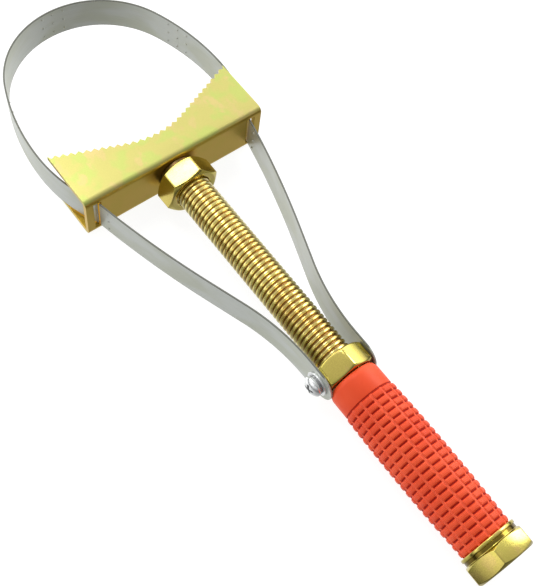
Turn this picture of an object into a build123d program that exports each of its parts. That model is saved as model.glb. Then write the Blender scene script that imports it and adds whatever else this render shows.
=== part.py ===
from build123d import *
from math import asin, atan, cos, degrees, radians, sin, sqrt, tan
import os

# Adjustable steel-band filter wrench. Millimetres, +Z is the filter's axis. The origin is the
# centre of the band's round end, the handle points along -Y, and "back" is a distance from the
# saddle's web towards the handle.

# Saddle: pressed channel with two toothed flanges
saddle_length = 100.0
saddle_height = 25.5
sheet = 2.5
bend_radius = 3.0
jaw_low = 16.4              # from the outside of the web to the lowest tooth
jaw_angle = 21.0            # slope of each half of the jaw
jaw_radius = 45.0           # round bottom of the jaw
tooth_count = 29
tooth_depth = 1.6
flange_margin = 2.0         # blank length beyond the outermost tooth before cutting
slot_offset = 44.0          # slot centre from the middle
slot_width = 4.2
slot_clearance = 0.5        # above and below the band

# Band
band_width = 17.5
band_thickness = 0.8
loop_radius = 47.3          # middle of the band's thickness
loop_to_web = 63.6          # loop centre to the outside of the web
belly_half_width = 52.4
belly_to_web = 38.0         # widest point of the loop to the outside of the web
leg_start_angle = 12.3      # band's lean as it leaves the web
leg_angle = 19.6            # band's lean half way down the leg
leg_bow_radius = 500.0
leg_end_radius = 115.0
split_gap = 0.3             # between the loop node and each leg node
band_hole_clearance = 0.2

# Adjusting screw
thread_diameter = 17.8
thread_pitch = 2.5
thread_crest = 0.35
thread_root = 0.65
thread_depth = 1.3
journal_diameter = 12.0
shank_diameter = 16.0
rivet_diameter = 15.0
rivet_height = 2.2
running_clearance = 0.05    # radial, where one part turns in another
axial_play = 0.1
thread_clearance = 0.08     # radial, nut bore over the thread crests

# Washers and nuts on the screw
thrust_washer_diameter = 20.0
thrust_washer_thickness = 3.0
retaining_washer_diameter = 20.0
retaining_washer_thickness = 1.5
thrust_nut_flats = 25.5
thrust_nut_length = 11.2
thrust_nut_turn = -14.8     # a flat leans this far from straight up
anchor_nut_flats = 24.4
anchor_nut_length = 10.9
anchor_rest = 120.5         # web to the near face of the anchor nut
hex_chamfer_angle = 30.0
hex_face_share = 0.95       # round end face of a hexagon, as a share of its flats

# Handle
grip_gap = 0.5
grip_length = 86.2
grip_collar_length = 12.3
grip_collar_diameter = 24.8
grip_lip_length = 2.6
grip_lip_drop = 1.0
grip_swell_diameter = 26.8
grip_end_diameter = 25.0
grip_rows = 21
grip_row_gap = 0.9
grip_row_height = 0.7
grip_washer_diameter = 27.2
grip_washer_thickness = 1.6
head_neck_diameter = 26.2
head_neck_length = 1.8
head_flats = 28.0
head_length = 9.1
head_turn = -22.6           # a corner leans this far from straight up

# Pan-head screw that holds the left end of the band to the anchor nut
screw_diameter = 4.9
screw_back = 124.6          # web to the screw's axis
screw_head_diameter = 10.0
screw_head_height = 3.2
screw_head_edge = 1.1
recess_span = 5.4
recess_width = 1.1
recess_depth = 1.8
flat_washer_diameter = 12.0
flat_washer_thickness = 1.0
spring_washer_diameter = 9.4
spring_washer_thickness = 1.2
spring_washer_split = 1.2
screw_end_gap = 0.35        # screw tip short of the thread's bore

# Low-headed rivet that holds the right end
band_rivet_diameter = 10.0
band_rivet_height = 0.8

band_centre = anchor_nut_flats / 2 + band_thickness / 2
thrust_nut_back = axial_play + thrust_washer_thickness
thrust_nut_end = thrust_nut_back + thrust_nut_length
grip_back = anchor_rest + anchor_nut_length + grip_gap
grip_end = grip_back + grip_length
head_back = grip_end + grip_washer_thickness
bore_diameter = thread_diameter + 2 * thread_clearance


def back(distance):
    # Y of a station behind the web
    return -loop_to_web - distance


def turned(stations):
    # Solid of revolution about the screw's axis from (distance back, radius) stations
    first, last = stations[0][0], stations[-1][0]
    outline = [(0, back(first))]
    outline += [(radius, back(distance)) for distance, radius in stations]
    outline += [(0, back(last))]
    return revolve(make_face(Polyline(*outline, close=True)), Axis.Y)


def ring(start, thickness, outside, inside):
    disc = turned([(start, outside / 2), (start + thickness, outside / 2)])
    hole = turned([(start - 1, inside / 2), (start + thickness + 1, inside / 2)])
    return disc - hole


def hexagon(start, length, flats, turn):
    # Hexagonal bar along the screw's axis, a corner up when turn is 0, chamfered on both faces
    corner = flats / sqrt(3)
    face = flats / 2 * hex_face_share
    chamfer = (corner - face) * tan(radians(hex_chamfer_angle))
    end = start + length
    base = Plane(origin=(0, back(end), 0), x_dir=(0, 0, 1), z_dir=(0, 1, 0))
    bar = extrude(base * Rot(0, 0, turn) * RegularPolygon(corner, 6), length)
    envelope = turned([
        (start, face),
        (start + chamfer, corner),
        (end - chamfer, corner),
        (end, face),
    ])
    return bar & envelope


def jaw_point(travel, depth):
    # Point of the jaw line at an arc length from its middle, sunk by a depth into the metal
    side = 1 if travel >= 0 else -1
    slope = radians(jaw_angle)
    round_part = jaw_radius * slope
    run = abs(travel)
    if run <= round_part:
        lean = run / jaw_radius
        x = jaw_radius * sin(lean)
        y = jaw_low + jaw_radius * (1 - cos(lean))
    else:
        lean = slope
        x = jaw_radius * sin(slope) + (run - round_part) * cos(slope)
        y = jaw_low + jaw_radius * (1 - cos(slope)) + (run - round_part) * sin(slope)
    return side * (x + depth * sin(lean)), y - depth * cos(lean) - loop_to_web


def jaw_half_length():
    slope = radians(jaw_angle)
    straight = (saddle_length / 2 - jaw_radius * sin(slope)) / cos(slope)
    return jaw_radius * slope + straight


def jaw_cutter():
    # Everything on the filter's side of the toothed edge
    half = jaw_half_length()
    step = 2 * half / tooth_count
    edge = [jaw_point(-half, 0)]
    for tooth in range(tooth_count):
        edge.append(jaw_point(-half + (tooth + 0.5) * step, tooth_depth))
        edge.append(jaw_point(-half + (tooth + 1) * step, 0))
    side = edge[-1][0] + flange_margin
    top = edge[-1][1] + 2 * flange_margin
    outline = [(-side, edge[0][1])] + edge + [(side, edge[-1][1]), (side, top), (-side, top)]
    return extrude(make_face(Polyline(*outline, close=True)), saddle_height, both=True)


def saddle():
    depth = jaw_point(jaw_half_length(), 0)[1] + loop_to_web + flange_margin
    outside = Pos(depth / 2, 0) * Rectangle(depth, saddle_height)
    inside = Pos(sheet + depth / 2, 0) * Rectangle(depth, saddle_height - 2 * sheet)
    section = outside - inside
    outer_corners = section.vertices().filter_by(lambda v: v.X < sheet / 2)
    section = fillet(outer_corners, bend_radius)
    inner_corners = section.vertices().filter_by(
        lambda v: abs(v.X - sheet) < sheet / 10 and abs(v.Y) < saddle_height / 2 - sheet / 2
    )
    section = fillet(inner_corners, bend_radius - sheet)
    web = Plane(origin=(0, -loop_to_web, 0), x_dir=(0, 1, 0), z_dir=(1, 0, 0))
    channel = extrude(web * section, saddle_length / 2, both=True) - jaw_cutter()
    for side in (-1, 1):
        slot = Box(slot_width, 4 * sheet, band_width + 2 * slot_clearance)
        channel -= Pos(side * slot_offset, -loop_to_web, 0) * slot
    bore = journal_diameter / 2 + running_clearance
    return channel - turned([(-2 * sheet, bore), (sheet, bore)])


def heading(angle, forward):
    # Direction that leans outwards from the screw's axis on the +X side
    return (sin(radians(angle)) * forward, cos(radians(angle)) * forward)


def belly_rise():
    return belly_to_web - sheet


def entry_angle():
    # Lean of the band as it leaves the inside of the web for the belly
    return 2 * degrees(atan((belly_half_width - slot_offset) / belly_rise()))


def slot_bend_radius():
    return sheet / (sin(radians(entry_angle())) - sin(radians(leg_start_angle)))


def slot_mouth():
    # Middle of the band where it leaves the outside of the web
    shift = slot_bend_radius() * (cos(radians(leg_start_angle)) - cos(radians(entry_angle())))
    return slot_offset - shift, -loop_to_web


def swept(path):
    across = Plane(origin=path @ 0, x_dir=(0, 0, 1), z_dir=path % 0)
    return sweep(across * Rectangle(band_width, band_thickness), path=path)


def chain(start, angle, forward, steps):
    # Tangent arcs (radius, turn) and straights (length, None) from a start point
    edges = []
    point, way = start, heading(angle, forward)
    for size, turn in steps:
        if turn is None:
            edge = Line(point, (point[0] + way[0] * size, point[1] + way[1] * size))
        else:
            edge = JernArc(point, way, size, turn)
        edges.append(edge)
        point, way = tuple(edge @ 1)[:2], tuple(edge % 1)[:2]
    return Wire(edges)


def band_loop():
    # Belly arcs chosen to meet the round end and the slots without a corner
    rise = loop_to_web - belly_to_web
    spread = belly_half_width - loop_radius
    side_radius = (belly_half_width**2 + rise**2 - loop_radius**2) / (2 * spread)
    side_turn = degrees(asin(rise / (side_radius - loop_radius)))
    enter = entry_angle()
    lower_radius = belly_rise() / sin(radians(enter))
    kink = enter - leg_start_angle
    steps = [
        (slot_bend_radius(), -kink),
        (lower_radius, enter),
        (side_radius, side_turn),
        (loop_radius, 180 - 2 * side_turn),
        (side_radius, side_turn),
        (lower_radius, enter),
        (slot_bend_radius(), -kink),
    ]
    return swept(chain(slot_mouth(), leg_start_angle, 1, steps))


def band_leg(side):
    mouth = slot_mouth()
    lead = heading(leg_start_angle, -split_gap)
    start = (mouth[0] + lead[0], mouth[1] + lead[1])
    low, high = radians(leg_start_angle), radians(leg_angle)
    bowed = leg_bow_radius * (cos(low) - cos(high))
    eased = leg_end_radius * (1 - cos(high))
    straight = (start[0] - band_centre - bowed - eased) / sin(high)
    used = leg_bow_radius * (sin(high) - sin(low)) + straight * cos(high) + leg_end_radius * sin(high)
    steps = [
        (leg_bow_radius, leg_start_angle - leg_angle),
        (straight, None),
        (leg_end_radius, leg_angle),
        (start[1] - used - back(screw_back), None),
    ]
    strip = swept(chain(start, leg_start_angle, -1, steps))
    seat = Plane(origin=(band_centre - band_thickness / 2, back(screw_back), 0), z_dir=(1, 0, 0))
    tab = extrude(seat * Circle(band_width / 2), band_thickness)
    hole = extrude(seat * Circle(screw_diameter / 2 + band_hole_clearance), band_thickness)
    leg = strip + tab - hole
    return leg if side > 0 else mirror(leg, Plane.YZ)


def threads():
    # Grooves stand for the helix; its lead is in the motion
    run = grip_back - thrust_nut_end
    count = int(run / thread_pitch)
    crest, root = thread_diameter / 2, thread_diameter / 2 - thread_depth
    flank = (thread_pitch - thread_crest - thread_root) / 2
    stations = []
    for groove in range(count):
        start = thrust_nut_end + groove * thread_pitch + thread_crest
        stations += [
            (start, crest),
            (start + flank, root),
            (start + flank + thread_root, root),
            (start + 2 * flank + thread_root, crest),
        ]
    return stations


def adjusting_screw():
    rivet_back = -sheet - axial_play - retaining_washer_thickness
    journal = journal_diameter / 2
    crest = thread_diameter / 2
    stations = [
        (rivet_back - rivet_height, journal),
        (rivet_back - rivet_height / 2, rivet_diameter / 2),
        (rivet_back, rivet_diameter / 2),
        (rivet_back, journal),
        (thrust_nut_back, journal),
        (thrust_nut_back, crest),
    ]
    stations += threads()
    stations += [
        (grip_back, crest),
        (grip_back, shank_diameter / 2),
        (head_back, shank_diameter / 2),
        (head_back, head_neck_diameter / 2),
        (head_back + head_neck_length, head_neck_diameter / 2),
    ]
    head = hexagon(head_back + head_neck_length, head_length, head_flats, head_turn)
    return turned(stations) + head


def thrust_washer():
    bore = journal_diameter + 2 * running_clearance
    return ring(axial_play, thrust_washer_thickness, thrust_washer_diameter, bore)


def retaining_washer():
    start = -sheet - axial_play - retaining_washer_thickness
    bore = journal_diameter + 2 * running_clearance
    return ring(start, retaining_washer_thickness, retaining_washer_diameter, bore)


def thrust_nut():
    nut = hexagon(thrust_nut_back, thrust_nut_length, thrust_nut_flats, thrust_nut_turn - 30)
    bore = bore_diameter / 2
    return nut - turned([(thrust_nut_back - 1, bore), (thrust_nut_end + 1, bore)])


def anchor_nut():
    nut = hexagon(anchor_rest, anchor_nut_length, anchor_nut_flats, 0)
    bore = bore_diameter / 2
    nut -= turned([(anchor_rest - 1, bore), (anchor_rest + anchor_nut_length + 1, bore)])
    tapped = Rot(0, 90, 0) * Cylinder(screw_diameter / 2, 2 * anchor_nut_flats)
    return nut - Pos(0, back(screw_back), 0) * tapped


def grip_profile(share):
    # Outside diameter over the pads, at a share of the way along the textured part
    start = (grip_collar_diameter + grip_swell_diameter) / 2
    end = grip_end_diameter
    straight = start + (end - start) * share
    swell = grip_swell_diameter - (start + end) / 2
    return straight + 4 * swell * share * (1 - share)


def grip():
    textured = grip_length - grip_collar_length
    row = textured / grip_rows
    collar = grip_collar_diameter / 2
    step = grip_back + grip_collar_length
    stations = [
        (grip_back, collar - grip_lip_drop),
        (grip_back + grip_lip_length, collar),
        (step, collar),
    ]
    for index in range(grip_rows):
        start = step + index * row
        for place in (start + grip_row_gap / 2, start + row - grip_row_gap / 2):
            radius = grip_profile((place - step) / textured) / 2
            near_start = place < start + row / 2
            pair = [(place, radius - grip_row_height), (place, radius)]
            stations += pair if near_start else pair[::-1]
    stations.append((grip_end, stations[-1][1]))
    bore = shank_diameter / 2
    return turned(stations) - turned([(grip_back - 1, bore), (grip_end + 1, bore)])


def grip_washer():
    return ring(grip_end, grip_washer_thickness, grip_washer_diameter, shank_diameter)


def outward(side, distance):
    # Workplane on a screw's axis, facing away from the anchor nut
    centre = (side * distance, back(screw_back), 0)
    return Plane(origin=centre, x_dir=(0, 0, 1), z_dir=(side, 0, 0))


def washer_face():
    return anchor_nut_flats / 2 + band_thickness


def flat_washer():
    face = outward(-1, washer_face()) * (
        Circle(flat_washer_diameter / 2) - Circle(screw_diameter / 2 + band_hole_clearance)
    )
    return extrude(face, flat_washer_thickness)


def spring_washer():
    base = outward(-1, washer_face() + flat_washer_thickness)
    face = Circle(spring_washer_diameter / 2) - Circle(screw_diameter / 2 + band_hole_clearance)
    split = Pos(0, spring_washer_diameter / 2) * Rectangle(spring_washer_split, spring_washer_diameter)
    return extrude(base * (face - split), spring_washer_thickness)


def shank(side, seat):
    # From the seat of a head to just short of the thread's bore
    tip = bore_diameter / 2 + screw_end_gap
    return extrude(outward(side, tip) * Circle(screw_diameter / 2), seat - tip)


def band_screw():
    seat = washer_face() + flat_washer_thickness + spring_washer_thickness
    head = extrude(outward(-1, seat) * Circle(screw_head_diameter / 2), screw_head_height)
    top = head.faces().sort_by(Axis.X)[0]
    head = chamfer(top.edges(), screw_head_height - screw_head_edge, screw_head_edge)
    slots = Rectangle(recess_span, recess_width) + Rectangle(recess_width, recess_span)
    crown = outward(-1, seat + screw_head_height - recess_depth)
    head -= extrude(crown * slots, recess_depth)
    return head + shank(-1, seat)


def band_rivet():
    seat = washer_face()
    head = extrude(outward(1, seat) * Circle(band_rivet_diameter / 2), band_rivet_height)
    top = head.faces().sort_by(Axis.X)[-1]
    head = chamfer(top.edges(), band_rivet_height / 2)
    return head + shank(1, seat)


os.makedirs("parts", exist_ok=True)
export_step(saddle(), "parts/saddle.step")
export_step(band_loop(), "parts/band_loop.step")
export_step(band_leg(-1), "parts/band_leg_left.step")
export_step(band_leg(1), "parts/band_leg_right.step")
export_step(adjusting_screw(), "parts/adjusting_screw.step")
export_step(thrust_washer(), "parts/thrust_washer.step")
export_step(retaining_washer(), "parts/retaining_washer.step")
export_step(thrust_nut(), "parts/thrust_nut.step")
export_step(anchor_nut(), "parts/anchor_nut.step")
export_step(flat_washer(), "parts/flat_washer.step")
export_step(spring_washer(), "parts/spring_washer.step")
export_step(band_screw(), "parts/band_screw.step")
export_step(band_rivet(), "parts/band_rivet.step")
export_step(grip(), "parts/grip.step")
export_step(grip_washer(), "parts/grip_washer.step")
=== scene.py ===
import math

import bmesh
import bpy
import numpy as np
from mathutils import Matrix, Vector


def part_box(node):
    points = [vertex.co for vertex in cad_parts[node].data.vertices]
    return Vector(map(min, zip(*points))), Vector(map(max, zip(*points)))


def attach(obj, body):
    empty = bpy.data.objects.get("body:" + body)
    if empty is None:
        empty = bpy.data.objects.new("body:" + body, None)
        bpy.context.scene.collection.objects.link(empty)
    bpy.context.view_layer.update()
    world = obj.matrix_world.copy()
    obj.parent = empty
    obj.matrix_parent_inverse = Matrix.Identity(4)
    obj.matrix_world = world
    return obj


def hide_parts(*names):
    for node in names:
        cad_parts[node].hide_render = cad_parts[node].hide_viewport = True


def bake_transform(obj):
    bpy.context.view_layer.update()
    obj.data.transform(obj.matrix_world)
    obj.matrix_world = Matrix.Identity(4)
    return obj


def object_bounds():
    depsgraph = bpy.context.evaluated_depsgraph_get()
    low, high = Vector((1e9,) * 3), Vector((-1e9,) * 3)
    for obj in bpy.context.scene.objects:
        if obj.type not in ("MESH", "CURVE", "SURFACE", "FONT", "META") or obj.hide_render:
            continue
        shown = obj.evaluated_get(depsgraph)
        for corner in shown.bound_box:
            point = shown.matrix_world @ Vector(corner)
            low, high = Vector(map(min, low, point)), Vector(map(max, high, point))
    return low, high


mm = 0.001
mergeDistance, flatDistance = 2e-6, 1e-7  # metres: points and edges this close become one
turn = 2 * math.pi
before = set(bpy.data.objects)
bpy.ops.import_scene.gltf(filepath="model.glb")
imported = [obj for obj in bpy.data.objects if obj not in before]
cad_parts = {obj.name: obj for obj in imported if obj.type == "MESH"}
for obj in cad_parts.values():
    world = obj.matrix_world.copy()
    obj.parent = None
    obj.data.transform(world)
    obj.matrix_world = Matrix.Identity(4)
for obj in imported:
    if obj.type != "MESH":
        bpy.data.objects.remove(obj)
cadBox = [list(corner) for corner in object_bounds()]
print("frame loaded")

# Shared places. "Back" is a distance from the outer face of the saddle's web towards the handle.
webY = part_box("saddle")[0].y


def back(distance):
    return webY - distance * mm


def gridFaces(rows, columns, wrapRows=False, wrapColumns=False):
    # quads between neighbouring rows and columns of a grid numbered row by row
    row, column = np.meshgrid(
        np.arange(rows if wrapRows else rows - 1), np.arange(columns if wrapColumns else columns - 1),
        indexing="ij")
    here, below, beside = row * columns, (row + 1) % rows * columns, (column + 1) % columns
    corners = [here + column, here + beside, below + beside, below + column]
    return np.stack([corner.ravel() for corner in corners], axis=1)


def makeMesh(name, points, faces, materials, uv=None, faceMaterial=None, marks=None,
             sharpAngle=38, extra=()):
    # points in metres (n, 3), quads (m, 4); doubles are merged and every face is turned outwards
    mesh = bpy.data.meshes.new(name)
    mesh.from_pydata(points.reshape(-1, 3).tolist(), [], faces.tolist() + [list(f) for f in extra])
    for material in materials:
        mesh.materials.append(material)
    if faceMaterial is not None:
        mesh.polygons.foreach_set("material_index", faceMaterial.astype(np.int32))
    if uv is not None:
        corner = np.empty(len(mesh.loops), np.int32)
        mesh.loops.foreach_get("vertex_index", corner)
        layer = mesh.uv_layers.new(name="along_across")
        layer.data.foreach_set("uv", uv.reshape(-1, 2)[corner].astype(np.float32).ravel())
    for key, values in (marks or {}).items():
        mark = mesh.attributes.new(key, "FLOAT", "POINT")
        mark.data.foreach_set("value", values.astype(np.float32).ravel())
    work = bmesh.new()
    work.from_mesh(mesh)
    bmesh.ops.remove_doubles(work, verts=work.verts, dist=mergeDistance)
    bmesh.ops.dissolve_degenerate(work, edges=work.edges, dist=flatDistance)
    bmesh.ops.recalc_face_normals(work, faces=work.faces)
    work.to_mesh(mesh)
    work.free()
    mesh.polygons.foreach_set("use_smooth", np.ones(len(mesh.polygons), bool))
    mesh.set_sharp_from_angle(angle=math.radians(sharpAngle))
    piece = bpy.data.objects.new(name, mesh)
    bpy.context.scene.collection.objects.link(piece)
    return piece


def fit(piece, body, slot, *nodes):
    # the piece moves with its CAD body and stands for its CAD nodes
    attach(piece, body)
    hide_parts(*nodes)


def softened(keys, reach, cuts=3, closed=True):
    # keys (k, n, 2): each corner of a profile becomes the curve (1-t)^2 before + 2t(1-t) corner + t^2 after,
    # where before and after lie the reach along the two sides, or less on a short side
    before, after = np.roll(keys, 1, axis=0), np.roll(keys, -1, axis=0)

    def towards(other):
        step = other - keys
        length = np.maximum(np.linalg.norm(step, axis=2, keepdims=True), 1e-9)
        return keys + step / length * np.minimum(reach, 0.45 * length)

    start, end = towards(before), towards(after)
    share = np.linspace(0, 1, cuts + 1)[None, :, None, None]
    curve = ((1 - share) ** 2 * start[:, None] + 2 * share * (1 - share) * keys[:, None]
             + share**2 * end[:, None])
    rows = curve.reshape(-1, *keys.shape[1:])
    if closed:
        return rows
    inner = curve[1:-1].reshape(-1, *keys.shape[1:])
    return np.concatenate([keys[:1], inner, keys[-1:]])


def around(rows, angles, centre=(0, 0, 0), axis="y", side=1):
    # rows (k, n, 2) of (distance along the axis, radius): point = axis * distance + radius * (sin a, cos a)
    distance, radius = rows[..., 0], rows[..., 1]
    across, up = radius * np.sin(angles), radius * np.cos(angles)
    if axis == "y":
        points = np.stack([across, distance, up], axis=-1)
    else:
        points = np.stack([side * distance, across, up], axis=-1)
    return points + np.array(centre)


def fullTurn(count=128):
    return np.arange(count) * turn / count


def washerRows(near, far, outside, inside, reach, count):
    # a rectangle of four corners, rounded
    return softened(levels(count, (near, inside), (near, outside), (far, outside), (far, inside)), reach)


def hexAngles(corner):
    # samples crowd towards the six corners so that their rounding is smooth
    half = np.array([0, 5, 10, 15, 20, 24, 26.5, 28, 28.8, 29.3, 29.7])
    sector = np.concatenate([-half[:0:-1], half, [30]])
    steps = (np.arange(6)[:, None] * 60 + 30 + sector[None, :]).ravel()
    return np.radians(corner + steps)


def hexRadius(angles, corner, flats, rounding, bulge):
    # radius of a hexagon whose corners are circles: half the flats over the cosine on a face, and on a corner
    # c cos d + sqrt(r^2 - c^2 sin^2 d) for a circle of radius r centred at distance c; less the bulge, by the
    # square of the lean from a face's middle
    lean = np.mod(angles - math.radians(corner), turn / 6) - turn / 12
    half = flats / 2
    centre = (half - rounding) / math.cos(turn / 12)
    last = math.atan((half - rounding) * math.tan(turn / 12) / half)
    delta = turn / 12 - np.abs(lean)
    circle = centre * np.cos(delta) + np.sqrt(
        np.maximum(rounding**2 - (centre * np.sin(delta)) ** 2, 0)
    )
    radius = np.where(np.abs(lean) < last, half / np.cos(lean), circle)
    return radius - bulge * np.minimum((lean / last) ** 2, 1)


def hexKeys(angles, values, near, far, faceRing, slope):
    # outline of a hexagonal bar from its near face ring to its far one: the side is cut by a cone on each end
    radius = hexRadius(angles, values["corner"], values["flats"], values["rounding"], values["bulge"])
    ring = np.full_like(radius, faceRing)
    drop = (radius - ring) * math.tan(math.radians(slope))
    return np.stack([
        np.stack([np.full_like(radius, near), ring], axis=1),
        np.stack([near - drop, radius], axis=1),
        np.stack([far + drop, radius], axis=1),
        np.stack([np.full_like(radius, far), ring], axis=1),
    ])


def ramp(value, low, high):
    # 0 below low, 1 above high, smooth between: s^2 (3 - 2 s)
    share = np.clip((value - low) / (high - low), 0, 1)
    return share * share * (3 - 2 * share)


def levels(count, *places):
    # circles of a profile, one for each (distance along the axis, radius)
    return np.tile(np.array(places, float)[:, None, :], (1, count, 1))


def turned(name, rows, angles, materials, closed=True, place=None, **options):
    # a profile carried once round its axis; closed joins its last row to its first
    faces = gridFaces(*rows.shape[:2], wrapRows=closed, wrapColumns=True)
    return makeMesh(name, around(rows, angles, **(place or {})), faces, materials, **options)


def rgb(red, green, blue):
    # a screen colour, 0 to 255, as the linear values that a shader wants
    share = np.array([red, green, blue]) / 255
    linear = np.where(share <= 0.04045, share / 12.92, ((share + 0.055) / 1.055) ** 2.4)
    return (*linear.tolist(), 1)


class Wire:
    # a socket that can stand in a sum: each operator adds one Math node
    def __init__(self, tree, socket):
        self.tree = tree
        self.socket = socket

    def math(self, operation, *values):
        return self.tree.node("ShaderNodeMath", {"operation": operation}, dict(enumerate(values)))

    def __add__(self, other):
        return self.math("ADD", self, other)

    def __radd__(self, other):
        return self.math("ADD", other, self)

    def __sub__(self, other):
        return self.math("SUBTRACT", self, other)

    def __rsub__(self, other):
        return self.math("SUBTRACT", other, self)

    def __mul__(self, other):
        return self.math("MULTIPLY", self, other)

    def __rmul__(self, other):
        return self.math("MULTIPLY", other, self)

    def between(self, low, high):
        # 0 below low, 1 above high, smooth between
        settings = {"interpolation_type": "SMOOTHSTEP"}
        values = {"Value": self, "From Min": low, "From Max": high}
        return self.tree.node("ShaderNodeMapRange", settings, values)

    def parts(self):
        # the three numbers of a vector
        return [self.tree.node("ShaderNodeSeparateXYZ", {}, {0: self}, i) for i in range(3)]


class Nodes:
    # a node tree: node() adds any node, its settings first and then its sockets' values or links
    def __init__(self, tree):
        self.tree = tree
        tree.nodes.clear()

    def node(self, kind, settings, values, output=0):
        made = self.tree.nodes.new(kind)
        for key, value in settings.items():
            if key == "stops":
                self.setStops(made.color_ramp, value)
            else:
                setattr(made, key, value)
        for key, value in values.items():
            if isinstance(value, Wire):
                self.tree.links.new(value.socket, made.inputs[key])
            else:
                made.inputs[key].default_value = value
        return Wire(self, made.outputs[output]) if made.outputs else made

    def setStops(self, ramp, stops):
        ramp.interpolation = "EASE"
        while len(ramp.elements) < len(stops):
            ramp.elements.new(1)
        for element, (place, colour) in zip(ramp.elements, stops):
            element.position = place
            element.color = colour

    def mark(self, name):
        # a number stored at each point of the mesh
        return self.node("ShaderNodeAttribute", {"attribute_name": name}, {}, "Fac")

    def mix(self, share, first, second):
        return self.node("ShaderNodeMix", {"data_type": "RGBA"}, {0: share, 6: first, 7: second}, 2)

    def noise(self, place, scale, detail=3.0, roughness=0.5):
        values = {"Vector": place, "Scale": scale, "Detail": detail, "Roughness": roughness}
        return self.node("ShaderNodeTexNoise", {}, values)

    def stretched(self, place, scale, shift=(0, 0, 0)):
        return self.node("ShaderNodeMapping", {}, {"Vector": place, "Scale": scale, "Location": shift})

    def objectPlace(self):
        return self.node("ShaderNodeTexCoord", {}, {}, "Object")

    def mapPlace(self):
        return self.node("ShaderNodeUVMap", {"uv_map": "along_across"}, {})

    def bump(self, height, distance):
        return self.node("ShaderNodeBump", {}, {"Distance": distance, "Height": height})

    def surface(self, values):
        shader = self.node("ShaderNodeBsdfPrincipled", {}, values)
        self.node("ShaderNodeOutputMaterial", {}, {"Surface": shader})


def newFinish(name):
    material = bpy.data.materials.new(name)
    material.use_nodes = True
    return material, Nodes(material.node_tree)


sheetPlating = {
    "gold": rgb(214, 206, 124),
    "green": rgb(202, 210, 118),
    "pink": rgb(222, 204, 134),
    "dull": rgb(150, 134, 70),
    "deep": rgb(214, 176, 66),  # painted shade: the darker, browner gold of the web's outer face and the channel's inside
    "tarnish": 1.0,  # strength of the green and pink
    "blotch": 11 * mm,  # size of the tarnish colours
    "grain": 0.4 * mm,
    "roughness": 0.34,
    "relief": 0.015 * mm,
}
nutPlating = {
    "gold": rgb(214, 196, 104),
    "green": rgb(204, 194, 96),
    "pink": rgb(220, 190, 118),
    "dull": rgb(130, 108, 50),
    "deep": rgb(118, 100, 40),  # painted shade in narrow gaps
    "tarnish": 0.6,
    "blotch": 10 * mm,
    "grain": 0.6 * mm,
    "roughness": 0.16,
    "relief": 0.01 * mm,
}
# a darker copy of the plating: painted shade for the thrust washer in the dark gap behind the thrust nut
shadedWasherPlating = {
    "gold": rgb(116, 98, 58),
    "green": rgb(92, 82, 50),
    "pink": rgb(124, 96, 64),
    "dull": rgb(60, 50, 34),
    "deep": rgb(60, 50, 34),
    "tarnish": 0.8,
    "blotch": 6 * mm,
    "grain": 0.5 * mm,
    "roughness": 0.4,
    "relief": 0.015 * mm,
}


platingLook = {  # shared by the three platings above
    "greenNoise": (0.46, 0.62),
    "pinkNoise": (0.54, 0.68),
    "pinkStretch": (1.3, 0.8, 1),
    "pinkShift": (0.3, 0.1, 0.7),
    "pinkScale": 1.4,
    "dullNoise": (0.35, 0.8),
    "dullShare": 0.2,
    "grainGloss": 0.18,  # how much the grain and the drift change the roughness
    "driftGloss": 0.12,
}


def passivated(name, values, look):
    # yellow zinc: gold drifting slowly to green and pink, with painted shade in the deep colour where the
    # piece is marked as sunk, with fine grain in the roughness and the bump
    material, nodes = newFinish(name)
    place = nodes.objectPlace()
    drift = nodes.noise(place, 1 / values["blotch"], 2.0, 0.55)
    moved = nodes.stretched(place, look["pinkStretch"], look["pinkShift"])
    cloud = nodes.noise(moved, look["pinkScale"] / values["blotch"])
    grain = nodes.noise(place, 1 / values["grain"], 4.0, 0.6)
    greenShare = drift.between(*look["greenNoise"]) * values["tarnish"]
    greened = nodes.mix(greenShare, values["gold"], values["green"])
    pinked = nodes.mix(cloud.between(*look["pinkNoise"]) * values["tarnish"], greened, values["pink"])
    dulled = nodes.mix(grain.between(*look["dullNoise"]) * look["dullShare"], pinked, values["dull"])
    # painted shade: the sunk mark blends in the deep colour
    sunk = nodes.mark("sunk")
    nodes.surface({
        "Base Color": nodes.mix(sunk, dulled, values["deep"]),
        "Metallic": 1.0,
        "Roughness": (values["roughness"] + (grain - 0.5) * look["grainGloss"]
                      + (drift - 0.5) * look["driftGloss"]),
        "Normal": nodes.bump(grain, values["relief"]),
    })
    return material


threadPlating = {
    "gold": rgb(220, 206, 128),
    "bronze": rgb(204, 180, 104),
    # painted shade in the thread's root
    "root": rgb(156, 118, 68),
    "glint": rgb(255, 248, 214),  # painted highlight: thin bright lines along the crest's edges
    "glintRadius": 8.72 * mm,
    "rootRadius": 7.75 * mm,
    "crestRadius": 8.5 * mm,
    "glintBefore": 0.25 * mm,  # width of a painted highlight line below and above its radius
    "glintAfter": 0.12 * mm,
    "glintShare": 0.8,
    "drift": 90,
    "bronzeNoise": (0.42, 0.66),
    "grain": 0.5 * mm,
    "grainGloss": 0.16,
    "rootGloss": 0.22,
    "roughness": 0.2,
    "relief": 0.01 * mm,
}


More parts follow.
